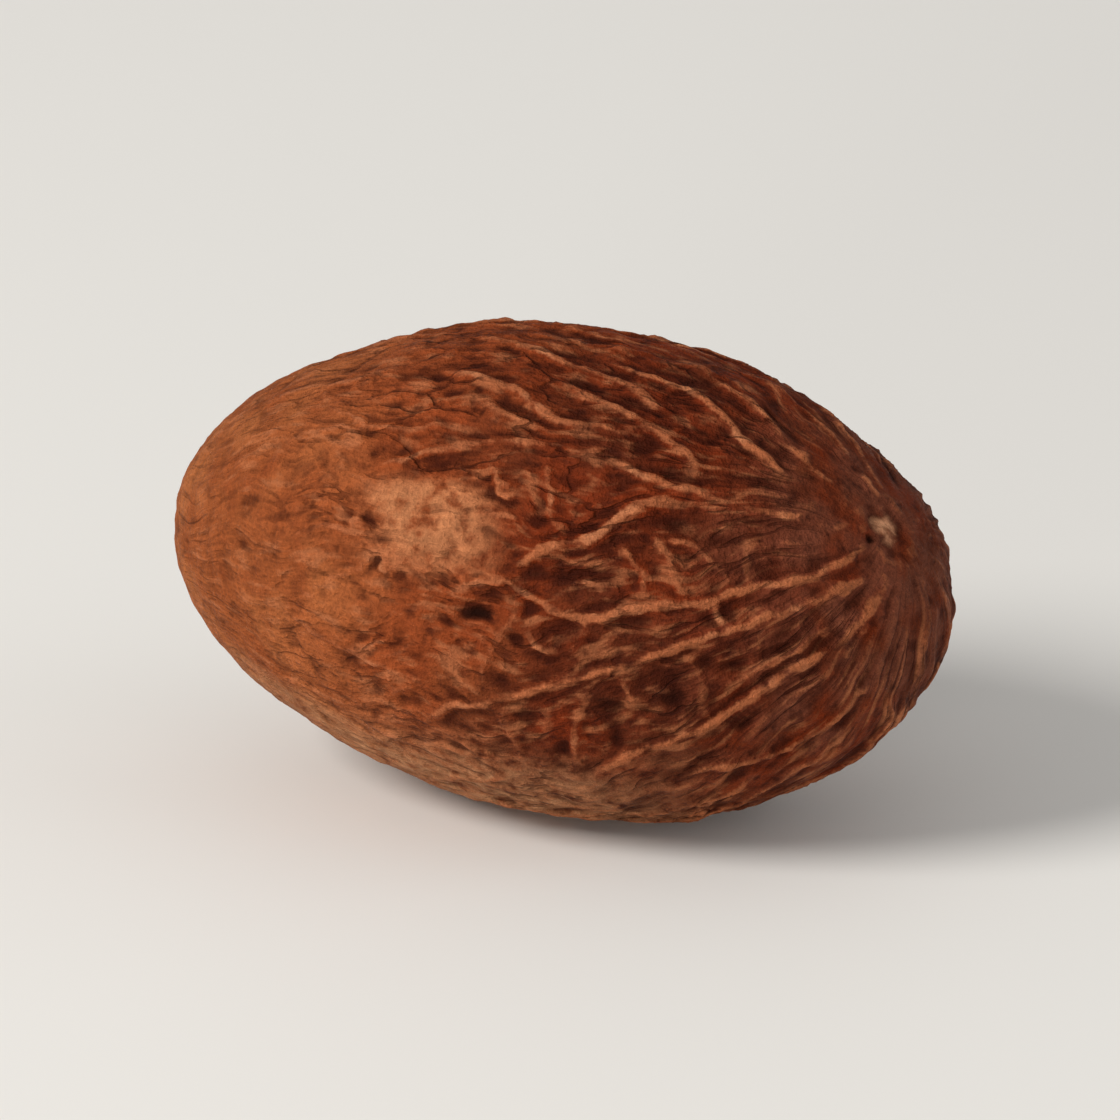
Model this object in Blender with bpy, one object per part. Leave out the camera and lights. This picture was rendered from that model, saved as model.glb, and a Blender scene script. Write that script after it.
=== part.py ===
"""A whole nutmeg: one dried seed kernel that lies on its side, blunt end towards +X.

Metres, +Z up. The origin is at the middle of the base, under the kernel.
The kernel is an egg, with a net of raised veins that run lengthwise and meet at the hilum.
"""

import math

import bmesh
import bpy
import numpy as np
from mathutils import Vector, noise

MM = 0.001

# Driving dimensions of the egg
LENGTH = 29.0 * MM
WIDTH = 17.5 * MM
HEIGHT = 17.2 * MM
TAPER = 0.04  # share by which the blunt half is fatter than the egg's middle, and the other half slimmer
POINT = 0.08  # share by which the slim end draws in further, towards its tip
FLAT_DEPTH = 0.24 * MM  # how much of the round underside is missing, which leaves the spot it rests on
FLAT_FADE = (FLAT_DEPTH, 5 * FLAT_DEPTH)  # heights over the egg's lowest point between which relief fades in

# Slow unevenness of the egg
LUMP_SIZE = 8.0 * MM
LUMP_HEIGHT = 0.35 * MM

# The hilum is the scar at the blunt end, where the seed hung. It sits above the long axis.
HILUM_ALONG = 0.89
HILUM_TURN = math.radians(110)
HILUM_RADIUS = 1.6 * MM
HILUM_DISH = 0.25 * MM
HILUM_RIM = 0.12 * MM
RIM_WIDTH = 0.35  # in scar radii
DISH_WIDTH = 0.75  # in scar radii
HILUM_CALM = (0.2, 2.0)  # the veins fade out between these distances from its middle, in scar radii

# The chalaza is the small pit at the slim end
CHALAZA_ALONG = -0.975
CHALAZA_TURN = math.radians(-35)
CHALAZA_RADIUS = 0.9 * MM
CHALAZA_DEPTH = 0.4 * MM
CHALAZA_CALM = (0.2, 2.5)  # the same for this pit, in its own radii

# The raphe is a shallow groove from the hilum to the chalaza, on the side away from the front
RAPHE_TURN = math.radians(32)
RAPHE_HALF_WIDTH = 0.9 * MM
RAPHE_DEPTH = 0.25 * MM
RAPHE_FADE = (1.5 * MM, 4.0 * MM)  # distances from the bent long axis between which the groove deepens

# Veins stand up from the ground, and the cells between them are hollow
VEIN_HALF_WIDTH = 0.38 * MM
VEIN_HEIGHT = 0.20 * MM
VEIN_END = 0.07  # share of the half length over which a long vein rises at its ends
CLEAR_HALF_WIDTH = 1.0 * MM  # the ground beside a long vein that the net leaves free
CELL_HOLLOW = 0.16 * MM
CELL_WIDTH = 2.5 * MM
CELL_LENGTH = 8.0 * MM
LEAST_SQUEEZE = 0.3  # near the scars the cells get narrower, down to this share of their width
NET_SHARE = 0.8  # how high the net's veins are, next to the long veins of the front
CELL_EDGE = 0.5  # strength of a vein at which the hollow beside it starts
SMOOTH_ALONG = (-0.65, 0.0)  # the net fades out between these places, towards the slim end
SMOOTH_SHARE = 0.3

# Veins wander sideways as they run
WANDER_SIZE = 3.6 * MM
WANDER = 0.75 * MM
NEAR_AXIS = 2.0 * MM

# Long veins of the front: (share of the half length, turn about the long axis in degrees).
# A turn of 90 is the top, 180 the front (-Y) and 270 the base.
MAIN_VEINS = {
    "middle": [(-0.19, 174), (-0.07, 168), (0.06, 163), (0.20, 167), (0.44, 164), (0.65, 155), (0.88, 135)],
    "arch": [(0.08, 163), (0.14, 156), (0.28, 149), (0.37, 140), (0.46, 134), (0.80, 125)],
    "low": [(-0.17, 206), (-0.07, 197), (0.07, 192), (0.33, 182), (0.53, 173), (0.71, 163), (0.88, 142)],
    "lower": [(0.21, 217), (0.39, 206), (0.57, 198), (0.71, 187), (0.87, 169)],
    "lowest": [(0.41, 221), (0.54, 215), (0.65, 216), (0.80, 214), (0.90, 200)],
    "top": [(-0.23, 92), (0.03, 100), (0.23, 105), (0.38, 112)],
    "top_second": [(0.12, 97), (0.38, 101), (0.57, 111), (0.80, 120)],
    "top_third": [(-0.28, 107), (-0.03, 114), (0.12, 121), (0.34, 119)],
}

# How fine the surface is before and after it is thinned
GRID = 84
TRIANGLES = 10400

RADII = np.array([LENGTH, WIDTH, HEIGHT]) / 2
DRUM = WIDTH / 2
MIDDLE_HEIGHT = HEIGHT / 2 - FLAT_DEPTH


def clear_scene():
    for obj in list(bpy.data.objects):
        bpy.data.objects.remove(obj, do_unlink=True)


def collection(name):
    made = bpy.data.collections.new(name)
    bpy.context.scene.collection.children.link(made)
    return made


def ramp(value, low, high):
    """0 below low, 1 above high, and a smooth rise between them."""
    share = np.clip((value - low) / (high - low), 0, 1)
    return share * share * (3 - 2 * share)


def bell(value, width):
    """1 at zero, falling smoothly to nothing over that width."""
    return np.exp(-((value / width) ** 2))


def noise_at(points, size):
    """Smooth noise at each point, about -1 to 1, with features of that size."""
    return np.array([noise.noise(Vector(p)) for p in points / size])


def fatness(along):
    """How much wider the egg is at each place than an ellipsoid would be."""
    return 1 + TAPER * along - POINT * np.maximum(0, -along) ** 3


def egg(directions):
    """The points of the bare egg, round its own middle, for unit directions."""
    points = directions * RADII
    points[:, 1:] *= fatness(directions[:, 0])[:, None]
    return points


def spot_on_egg(along, turn):
    """The point of the egg at a share of its half length and a turn about its long axis."""
    across = math.sqrt(1 - along**2)
    direction = [along, across * math.cos(turn), across * math.sin(turn)]
    return egg(np.array([direction]))[0]


def vein_places(along, points):
    """Each point's turn about the line that joins the chalaza to the hilum, and its distance from it."""
    hilum = spot_on_egg(HILUM_ALONG, HILUM_TURN)
    chalaza = spot_on_egg(CHALAZA_ALONG, CHALAZA_TURN)
    to_hilum = (np.maximum(0, along) / HILUM_ALONG) ** 2
    to_chalaza = (np.minimum(0, along) / CHALAZA_ALONG) ** 2
    y = points[:, 1] - hilum[1] * to_hilum - chalaza[1] * to_chalaza
    z = points[:, 2] - hilum[2] * to_hilum - chalaza[2] * to_chalaza
    reach = np.hypot(y, z)
    wandering = WANDER * noise_at(points, WANDER_SIZE)
    return np.arctan2(z, y) + wandering / np.maximum(reach, NEAR_AXIS), reach


def turn_apart(turns, other):
    """The signed angle from other to each turn, in the range -pi to pi."""
    return (turns - other + math.pi) % (2 * math.pi) - math.pi


def main_veins(along, turns, reach):
    """The strength of the long veins of the front, and of the ground that they keep clear of the net."""
    strength = np.zeros(len(along))
    clear = np.zeros(len(along))
    for route in MAIN_VEINS.values():
        places, angles = np.array(route).T
        angle = np.interp(along, places, np.radians(angles))
        slope = np.interp(along, places, np.gradient(np.radians(angles), places))
        lean = np.hypot(1, slope * reach / RADII[0])
        apart = turn_apart(turns, angle) * reach / lean
        shown = ramp(along - places[0], -VEIN_END, VEIN_END) * ramp(places[-1] - along, -VEIN_END, VEIN_END)
        strength = np.maximum(strength, bell(apart, VEIN_HALF_WIDTH) * shown)
        clear = np.maximum(clear, bell(apart, CLEAR_HALF_WIDTH) * shown)
    return strength, clear


def net_strength(along, turns, reach):
    """1 on the borders between long narrow cells, falling to 0 inside them."""
    cells = np.array([DRUM / CELL_WIDTH, DRUM / CELL_WIDTH, RADII[0] / CELL_LENGTH])
    places = np.column_stack([np.cos(turns), np.sin(turns), along]) * cells
    widths = CELL_WIDTH * np.maximum(reach / DRUM, LEAST_SQUEEZE)
    strength = np.zeros(len(along))
    for index, place in enumerate(map(Vector, places)):
        _, (home, *neighbours) = noise.voronoi(place)
        for other in neighbours:
            across = (home - other).normalized()
            gap = (place - (home + other) / 2).dot(across)
            side = across.y * math.cos(turns[index]) - across.x * math.sin(turns[index])
            steepness = math.hypot(side / widths[index], across.z / CELL_LENGTH)
            near = math.exp(-((gap / (steepness * VEIN_HALF_WIDTH)) ** 2)) if steepness > 0 else 0
            strength[index] = max(strength[index], near)
    return strength


def vein_relief(along, turns, reach):
    """Raised veins and hollow cells, which fade towards the slim end."""
    main, clear = main_veins(along, turns, reach)
    net = net_strength(along, turns, reach) * (1 - clear)
    wrinkled = SMOOTH_SHARE + (1 - SMOOTH_SHARE) * ramp(along, *SMOOTH_ALONG)
    veins = np.maximum(main, NET_SHARE * net) * wrinkled
    hollows = wrinkled * (1 - ramp(veins, 0, CELL_EDGE))
    return VEIN_HEIGHT * veins - CELL_HOLLOW * hollows


def raphe_relief(turns, reach):
    """The shallow groove along one side."""
    groove = bell(turn_apart(turns, RAPHE_TURN) * reach, RAPHE_HALF_WIDTH)
    return -RAPHE_DEPTH * groove * ramp(reach, *RAPHE_FADE)


def distance_from(points, along, turn):
    """Each point's distance from a place on the egg."""
    return np.linalg.norm(points - spot_on_egg(along, turn), axis=1)


def relief(directions, points):
    """How far the surface stands out from the bare egg at each point."""
    along = directions[:, 0]
    turns, reach = vein_places(along, points)
    height = vein_relief(along, turns, reach) + raphe_relief(turns, reach)

    from_hilum = distance_from(points, HILUM_ALONG, HILUM_TURN) / HILUM_RADIUS
    height *= ramp(from_hilum, *HILUM_CALM)
    height += HILUM_RIM * bell(from_hilum - 1, RIM_WIDTH)
    height -= HILUM_DISH * bell(from_hilum**2, DISH_WIDTH**2)

    from_chalaza = distance_from(points, CHALAZA_ALONG, CHALAZA_TURN) / CHALAZA_RADIUS
    height *= ramp(from_chalaza, *CHALAZA_CALM)
    height -= CHALAZA_DEPTH * bell(from_chalaza, 1)

    height += LUMP_HEIGHT * noise_at(points, LUMP_SIZE)
    return height * ramp(points[:, 2] + HEIGHT / 2, *FLAT_FADE)


def kernel_surface():
    """An even grid on a cube, blown up to a ball and then shaped to the nutmeg."""
    made = bmesh.new()
    bmesh.ops.create_cube(made, size=2)
    bmesh.ops.subdivide_edges(made, edges=made.edges[:], cuts=GRID - 1, use_grid_fill=True)
    flat = np.array([vertex.co for vertex in made.verts])
    directions = np.tan(flat * math.pi / 4)  # spreads the grid evenly over the ball
    directions /= np.linalg.norm(directions, axis=1)[:, None]
    points = egg(directions)
    outward = directions / RADII
    outward /= np.linalg.norm(outward, axis=1)[:, None]
    points += outward * relief(directions, points)[:, None]
    points[:, :2] -= (points.max(axis=0) + points.min(axis=0))[:2] / 2
    points[:, 2] += MIDDLE_HEIGHT
    for vertex, point in zip(made.verts, points):
        vertex.co = point
    mesh = bpy.data.meshes.new("nutmeg")
    made.to_mesh(mesh)
    made.free()
    return mesh


def table_cutter(home):
    """A block that fills the space under z = 0."""
    block = bmesh.new()
    bmesh.ops.create_cube(block, size=2 * LENGTH)
    mesh = bpy.data.meshes.new("table")
    block.to_mesh(mesh)
    block.free()
    table = bpy.data.objects.new("table", mesh)
    table.location.z = -LENGTH
    table.display_type = "WIRE"
    table.hide_render = True
    home.objects.link(table)
    return table


def kernel_material():
    """Dry brown seed wood, with a faint sheen."""
    material = bpy.data.materials.new("seed_brown")
    material.use_nodes = True
    surface = material.node_tree.nodes["Principled BSDF"]
    surface.inputs["Base Color"].default_value = (0.17, 0.043, 0.016, 1)
    surface.inputs["Roughness"].default_value = 0.7
    surface.inputs["Metallic"].default_value = 0.0
    return material


def nutmeg(home, table):
    kernel = bpy.data.objects.new("nutmeg", kernel_surface())
    kernel.data.materials.append(kernel_material())
    home.objects.link(kernel)

    thin = kernel.modifiers.new("thin", "DECIMATE")
    thin.ratio = TRIANGLES / (12 * GRID**2)

    rest = kernel.modifiers.new("rest", "BOOLEAN")
    rest.operation = "DIFFERENCE"
    rest.solver = "EXACT"
    rest.object = table

    kernel.data.shade_smooth()
    return kernel


def main():
    clear_scene()
    parts = collection("nutmeg_parts")
    cutters = collection("cutters")
    nutmeg(parts, table_cutter(cutters))


main()
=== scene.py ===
# %% [markdown]
# # A whole nutmeg, seen close up
# A nutmeg is the dried seed of an evergreen tree. Its shell has been cracked off, and what is left is a woody
# egg about 3 cm long, wrinkled by drying and crossed by a net of pale veins.
#
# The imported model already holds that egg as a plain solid. This lesson gives it its skin: a much finer mesh
# of the same form, with veins, pits and a scar as real relief, and a material that follows them. The solid
# stays the reference for every size, so the first step is to load it and to note its box.

# %% The frame
import math

import bmesh
import bpy
import numpy as np
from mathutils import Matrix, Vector, noise


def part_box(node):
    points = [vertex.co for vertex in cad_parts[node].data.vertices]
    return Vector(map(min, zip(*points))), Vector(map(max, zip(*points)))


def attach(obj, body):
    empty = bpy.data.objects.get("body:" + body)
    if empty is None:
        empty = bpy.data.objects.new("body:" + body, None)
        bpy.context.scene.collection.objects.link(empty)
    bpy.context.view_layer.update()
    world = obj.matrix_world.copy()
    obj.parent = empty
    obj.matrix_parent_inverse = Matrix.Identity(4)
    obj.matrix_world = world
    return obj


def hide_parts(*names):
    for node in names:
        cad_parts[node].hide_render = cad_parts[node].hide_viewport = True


MM = 0.001

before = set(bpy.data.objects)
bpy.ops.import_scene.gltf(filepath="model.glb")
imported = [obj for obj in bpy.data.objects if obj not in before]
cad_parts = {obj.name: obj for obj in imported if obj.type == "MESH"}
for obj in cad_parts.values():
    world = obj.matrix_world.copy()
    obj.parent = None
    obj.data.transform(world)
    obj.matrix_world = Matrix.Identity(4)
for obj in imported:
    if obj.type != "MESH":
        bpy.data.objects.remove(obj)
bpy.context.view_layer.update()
low_corner, high_corner = (np.array(corner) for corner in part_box("nutmeg"))
seed_size = high_corner - low_corner
print("The solid measures", np.round(seed_size / MM, 2), "mm")

# %% [markdown]
# ## The bare egg
# Under all the wrinkles the seed is an egg that lies on its side, with its blunt end towards +X. It could be
# sculpted, or turned on a lathe from a profile. A stretched ball is simpler, since every point of a ball is
# also a direction, and a direction is a good address on the seed: how far along it the point lies, and how
# far round.
#
# The egg is a little smaller than the box of the solid, because the veins stand up from it. It is also a
# little taller than its share, because the solid stands on a small flat spot where the egg's belly is missing.

# %% The bare egg
VEIN_ROOM = np.array([0.13, 0.43, 0.22]) * MM  # how much of the solid's box the veins take up
FLAT_DEPTH = 0.24 * MM  # how much of the round belly is missing
TAPER = 0.04  # share by which the blunt half is fatter than the middle, and the other half slimmer
POINT = 0.08  # share by which the slim end draws in further, towards its tip

RADII = (seed_size - VEIN_ROOM + np.array([0, 0, FLAT_DEPTH])) / 2
DRUM = RADII[1:].mean()  # the radius of the egg round its long axis


def egg(directions):
    """The points of the bare egg, round its own middle, for unit directions."""
    along = directions[:, 0]
    points = directions * RADII
    points[:, 1:] *= (1 + TAPER * along - POINT * np.maximum(0, -along) ** 3)[:, None]
    return points


def spot(along, turn):
    """A place on the egg: a share of its half length, and a turn about its long axis in degrees.

    A turn of 90 is the top, 180 the front and 270 the belly.
    """
    across = math.sqrt(1 - along**2)
    angle = math.radians(turn)
    return egg(np.array([[along, across * math.cos(angle), across * math.sin(angle)]]))[0]


print("The bare egg has half axes of", np.round(RADII / MM, 2), "mm")

# %% [markdown]
# ## A fine and even grid
# Relief needs many small faces of one size. A UV sphere crowds them at its poles, just where the veins of a
# nutmeg meet. A cube whose faces are cut into a grid and blown up to a ball has no poles. The tangent spreads
# the cuts evenly, as they would otherwise bunch up at the cube's corners.

# %% A fine and even grid
GRID = 128  # cuts along each edge of the cube, for 12 x 128 x 128 triangles
GATHER = np.array([0.84, 1, 1])  # draws the points in from the ends, as the egg's stretch pulls them apart
SHIFT = np.array([0.03, -0.04, 0])  # and towards the blunt end and the front, which have more relief


def ball_grid():
    """The bmesh of a cube cut into a grid, and the direction of each of its vertices from the middle."""
    grid = bmesh.new()
    bmesh.ops.create_cube(grid, size=2)
    bmesh.ops.subdivide_edges(grid, edges=grid.edges[:], cuts=GRID - 1, use_grid_fill=True)
    flat = np.array([vertex.co for vertex in grid.verts])
    directions = np.tan(flat * math.pi / 4)
    directions /= np.linalg.norm(directions, axis=1)[:, None]
    directions = directions * GATHER + SHIFT
    directions /= np.linalg.norm(directions, axis=1)[:, None]
    return grid, directions


grid, directions = ball_grid()
along = directions[:, 0]
ground = egg(directions)
outward = directions / RADII
outward /= np.linalg.norm(outward, axis=1)[:, None]
edges = np.array([[vertex.index for vertex in edge.verts] for edge in grid.edges])
edge_lengths = np.linalg.norm(ground[edges[:, 0]] - ground[edges[:, 1]], axis=1)
print(len(ground), "points,", round(float(edge_lengths.mean()) / MM, 3), "mm apart")

# %% [markdown]
# ## Tools for relief
# The relief is a single number for each point: how far the skin stands out from the bare egg. It is worked
# out in layers, and numpy does each layer for all points at once. Four small tools serve them all: a smooth
# ramp, smooth noise of a given size, a line drawn on the egg through a few chosen places, and the distance
# of each point from such a line. Each use of the noise reads a layer of its own, whose number is only a label.

# %% Tools for relief
LAYER_STEP = 17  # how far apart the layers of noise are read, so that no two look alike


def ramp(value, low, high):
    """0 below low, 1 above high, and a smooth rise between them."""
    share = np.clip((value - low) / (high - low), 0, 1)
    return share * share * (3 - 2 * share)


def noise_at(points, size, layer=0):
    """Smooth noise at each point, about -1 to 1, with features of that size. Each layer is another pattern."""
    shift = Vector((0, 0, LAYER_STEP * layer))
    return np.array([noise.noise(Vector(p) + shift) for p in points / size])


def smooth_line(places, steps=5):
    """A smooth run of points on the egg through the places, by Hermite curves between each two."""
    knots = np.array([spot(*place) for place in places])
    slopes = np.gradient(knots, axis=0)
    line = [knots[0]]
    for a, b, leave, arrive in zip(knots[:-1], knots[1:], slopes[:-1], slopes[1:]):
        for t in np.linspace(0, 1, steps + 1)[1:]:
            bend = t * t * (3 - 2 * t)
            line.append(a + (b - a) * bend + leave * t * (1 - t) ** 2 - arrive * t * t * (1 - t))
    return np.array(line)


def beside_line(points, line):
    """Each point's distance from the line, and how far along the line it is, from 0 to 1."""
    distance = np.full(len(points), np.inf)
    share = np.zeros(len(points))
    for index, (a, b) in enumerate(zip(line[:-1], line[1:])):
        step = b - a
        t = np.clip((points - a) @ step / (step @ step), 0, 1)
        apart = np.linalg.norm(points - a - t[:, None] * step, axis=1)
        nearer = apart < distance
        distance[nearer] = apart[nearer]
        share[nearer] = (index + t[nearer]) / (len(line) - 1)
    return distance, share


# %% [markdown]
# ## The landmarks
# Two landmarks rule a nutmeg's skin. At the blunt end is the hilum, the scar where the seed hung, and the
# veins fan out from it. At the slim end is the chalaza, a small pit where they run together again. A third
# one, the raphe, is a shallow groove that joins the two along one side.
#
# Veins that fan out of a point are hard to draw in plain coordinates. So each point also gets a second
# address, its turn about a bent line from the chalaza to the hilum. Patterns drawn in that address meet at
# the scars.

# %% The landmarks
HILUM = (0.89, 110)
HILUM_RADIUS = 1.1 * MM
CHALAZA = (-0.975, -35)
CHALAZA_RADIUS = 0.8 * MM
RAPHE_TURN = math.radians(32)
RAPHE_HALF_WIDTH = 0.9 * MM


def fan_address(points):
    """Each point's turn about the bent line from the chalaza to the hilum, and its distance from that line."""
    to_hilum = (np.maximum(0, along) / HILUM[0]) ** 2
    to_chalaza = (np.minimum(0, along) / CHALAZA[0]) ** 2
    off_axis = points[:, 1:] - np.outer(to_hilum, spot(*HILUM)[1:]) - np.outer(to_chalaza, spot(*CHALAZA)[1:])
    return np.arctan2(off_axis[:, 1], off_axis[:, 0]), np.hypot(*off_axis.T)


WANDERS = [(3.6 * MM, 0.75 * MM), (1.2 * MM, 0.18 * MM)]  # how veins stray sideways: over what size, how far
NEAR_AXIS = 2.0 * MM

turns, reach = fan_address(ground)
wandering = sum(stray * noise_at(ground, size, layer) for layer, (size, stray) in enumerate(WANDERS))
turns = turns + wandering / np.maximum(reach, NEAR_AXIS)
from_hilum = np.linalg.norm(ground - spot(*HILUM), axis=1) / HILUM_RADIUS
from_chalaza = np.linalg.norm(ground - spot(*CHALAZA), axis=1) / CHALAZA_RADIUS
print("Points on the hilum:", int((from_hilum < 1).sum()))
print("Points in the chalaza:", int((from_chalaza < 1).sum()))

# %% [markdown]
# ## The veins of the front
# No two nutmegs share their veins, so the side that faces the camera has its own map, read off the real seed.
# Each vein is a few places that it passes through. The long veins of the lower half run lengthwise, right up
# to the hilum. Those of the crown are shorter, and links join them all like the rungs of a ladder. The number
# before the places is the vein's height, where a main vein has 1.

# %% The veins of the front
LONG_VEINS = {
    "middle": (1.0, [(-0.19, 174), (-0.07, 168), (0.06, 163), (0.20, 167), (0.29, 169),
                     (0.44, 164), (0.58, 161), (0.65, 155), (0.79, 147), (0.88, 120)]),
    "low": (1.0, [(-0.17, 206), (-0.07, 197), (0.07, 192), (0.33, 182),
                  (0.53, 173), (0.71, 163), (0.88, 142)]),
    "under_low": (0.7, [(0.67, 181), (0.73, 179), (0.81, 170), (0.91, 150)]),
    "lower": (1.0, [(0.21, 217), (0.39, 206), (0.57, 198), (0.71, 187), (0.87, 169), (0.92, 145)]),
    "under_lower": (0.6, [(0.76, 195), (0.81, 188), (0.91, 165)]),
    "lowest": (0.8, [(0.41, 221), (0.54, 215), (0.65, 216), (0.80, 214), (0.90, 200)]),
    "patch_edge": (0.6, [(-0.46, 150), (-0.28, 138), (-0.08, 130),
                         (0.12, 128), (0.32, 130), (0.55, 133)]),
    "red_ridge": (0.7, [(0.55, 133), (0.72, 129), (0.88, 116)]),
}
CROWN_VEINS = {
    "crown_a": (0.9, [(-0.23, 92), (0.03, 100), (0.23, 105), (0.38, 112)]),
    "crown_b": (1.0, [(0.12, 97), (0.38, 101), (0.57, 111), (0.68, 117)]),
    "crown_c": (0.9, [(-0.28, 107), (-0.03, 114), (0.12, 121), (0.34, 119)]),
    "crown_d": (0.9, [(-0.01, 107), (0.24, 114), (0.43, 121), (0.50, 128)]),
    "crown_e": (0.6, [(-0.25, 120), (-0.12, 118), (0.03, 123), (0.17, 125)]),
    "crown_f": (0.7, [(0.25, 84), (0.48, 94), (0.68, 106), (0.86, 113)]),
    "crown_g": (0.7, [(0.39, 77), (0.63, 83), (0.82, 96), (0.88, 103)]),
    "crown_h": (0.7, [(0.50, 60), (0.65, 73), (0.77, 82), (0.86, 96)]),
}
LINKS = {
    "arch": (0.9, [(0.08, 163), (0.14, 156), (0.22, 151), (0.28, 149), (0.37, 140), (0.46, 134)]),
    "arch_1": (0.6, [(0.33, 151), (0.37, 152), (0.42, 156), (0.41, 164)]),
    "arch_2": (0.7, [(0.40, 145), (0.45, 149), (0.49, 155), (0.52, 162)]),
    "arch_3": (0.5, [(0.43, 147), (0.49, 146), (0.55, 149), (0.60, 153), (0.62, 158)]),
    "arch_4": (0.6, [(0.66, 139), (0.64, 145), (0.65, 155)]),
    "patch": (0.6, [(0.12, 128), (0.15, 141), (0.22, 151)]),
    "middle_1": (0.7, [(0.58, 161), (0.60, 165), (0.63, 169)]),
    "middle_2": (0.4, [(0.13, 165), (0.10, 172), (0.05, 181), (0.03, 192)]),
    "low_1": (0.5, [(0.30, 183), (0.29, 192), (0.25, 202), (0.23, 215)]),
    "low_2": (0.4, [(0.37, 181), (0.41, 190), (0.42, 203)]),
    "low_3": (0.4, [(0.08, 192), (0.10, 201), (0.11, 212)]),
    "low_4": (0.4, [(0.53, 173), (0.56, 184), (0.57, 197)]),
    "low_5": (0.4, [(0.67, 181), (0.69, 174), (0.69, 164)]),
}
print(len(LONG_VEINS) + len(CROWN_VEINS) + len(LINKS), "veins on the map of the front")

# %% [markdown]
# A drawn vein would look like a wire if its line were smooth and its ends blunt. So it is measured from ground
# that is shaken a little by noise, once in slow bends and once in frayed edges, and it rises and sinks away
# over a share of its length.

# %% The drawn veins as relief
VEIN_HALF_WIDTH = 0.19 * MM
WIGGLE_SIZE = 0.9 * MM
WIGGLE = 0.17 * MM
FRAY_SIZE = 0.4 * MM
FRAY = 0.08 * MM
FIRST_SHARE = 0.25  # a vein rises over this share of its length
LONG_LAST_SHARE = 0.05  # and sinks away over this one: a long vein keeps its height up to the hilum
SHORT_LAST_SHARE = 0.2
BEYOND_END = 0.05  # the rise starts this much before the vein itself, so its very end isn't flat


def drawn_veins(points, veins, last_share):
    """How strong the drawn veins are, 1 on a main crest, and each point's distance from the nearest vein."""
    strength = np.zeros(len(points))
    nearest = np.full(len(points), np.inf)
    for height, places in veins.values():
        distance, share = beside_line(points, smooth_line(places))
        fade = ramp(share, -BEYOND_END, FIRST_SHARE) * ramp(1 - share, -BEYOND_END, last_share)
        strength = np.maximum(strength, height * fade * np.exp(-((distance / VEIN_HALF_WIDTH) ** 2)))
        nearest = np.minimum(nearest, distance)
    return strength, nearest


wiggle = WIGGLE * np.column_stack([noise_at(ground, WIGGLE_SIZE, layer) for layer in (1, 2, 3)])
wiggle += FRAY * np.column_stack([noise_at(ground, FRAY_SIZE, layer) for layer in (21, 22, 23)])
shaken = ground + wiggle
long_veins, from_long_vein = drawn_veins(shaken, LONG_VEINS, LONG_LAST_SHARE)
short_veins, from_short_vein = drawn_veins(shaken, {**CROWN_VEINS, **LINKS}, SHORT_LAST_SHARE)
front_veins = np.maximum(long_veins, short_veins)
from_front_vein = np.minimum(from_long_vein, from_short_vein)
print("The drawn veins cover", round(100 * float((front_veins > 0.5).mean())), "% of the skin")

# %% [markdown]
# ## The net on the other sides
# The back, the ends and the belly are covered by the same kind of net, but nobody can see which veins run
# where. They are made by rule. Scatter points over the seed and give each the ground nearest to it: the
# borders between these Voronoi cells form a net. Cells three times longer than wide give the lengthwise look
# of real veins.

# %% The net on the other sides
CELL_WIDTH = 2.5 * MM
CELL_LENGTH = 8.0 * MM
LEAST_SQUEEZE = 0.3  # near the scars the cells get narrower, down to this share of their width
NET_WIGGLE = 1.1  # how much more the net wiggles than the drawn veins do


def vein_net(half_width):
    """1 on the borders between long narrow cells that fan out of the hilum, falling to 0 inside them."""
    squeeze = np.maximum(reach / DRUM, LEAST_SQUEEZE)
    per_metre = np.array([DRUM / CELL_WIDTH, DRUM / CELL_WIDTH, RADII[0] / CELL_LENGTH])
    places = np.column_stack([np.cos(turns), np.sin(turns), along]) * per_metre
    places += NET_WIGGLE * wiggle / CELL_WIDTH
    strength = np.zeros(len(places))
    for index, place in enumerate(map(Vector, places)):
        _, (home, *neighbours) = noise.voronoi(place)
        for other in neighbours:
            across = (home - other).normalized()
            gap = (place - (home + other) / 2).dot(across)
            side = across.y * math.cos(turns[index]) - across.x * math.sin(turns[index])
            steepness = math.hypot(side / (CELL_WIDTH * squeeze[index]), across.z / CELL_LENGTH)
            if steepness > 0:
                strength[index] = max(strength[index], math.exp(-((gap / (steepness * half_width)) ** 2)))
    return strength


net = vein_net(VEIN_HALF_WIDTH)
print("The net covers", round(100 * float((net > 0.5).mean())), "% of the skin")

# %% [markdown]
# ## Wrinkles
# Drying shrinks the kernel more than its coat, so the coat wrinkles lengthwise. The crests of such wrinkles
# are sharp and the valleys wide. Noise that is folded at zero has just that form: its zero lines become
# crests. It is read in the fan address, so the wrinkles too run together at the scars, and squeezed
# lengthwise, so they are longer than wide. Right at the scars they would get too narrow for the grid. There a
# plain crumple takes over.

# %% Wrinkles
WRINKLE_STRETCH = 2.5
WRINKLES = [(2.3 * MM, 0.10 * MM), (1.15 * MM, 0.08 * MM), (0.6 * MM, 0.055 * MM)]  # their sizes and heights
LEAST_WRINKLE = 0.25 * MM  # narrower ones would fall between the points of the grid
CRUMPLE_SIZE = 0.9 * MM
CRUMPLE_HEIGHT = 0.07 * MM
CRUMPLE_REACH = (3 * MM, 7 * MM)  # whole within this distance of the bent line, and gone at the other
FOLD_SLOPE = 2.2  # how fast a crest falls away on both sides
FOLD_SHARPNESS = 1.5
FOLD_MEAN = 0.4  # taken off, so that the wrinkles neither swell nor shrink the seed

fan = np.column_stack([DRUM * np.cos(turns), DRUM * np.sin(turns), RADII[0] * along / WRINKLE_STRETCH])


def folded_noise(points, size, layer):
    """Sharp crests, 1 high, with valleys at 0 between them."""
    return np.clip(1 - FOLD_SLOPE * np.abs(noise_at(points, size, layer)), 0, 1) ** FOLD_SHARPNESS


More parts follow.
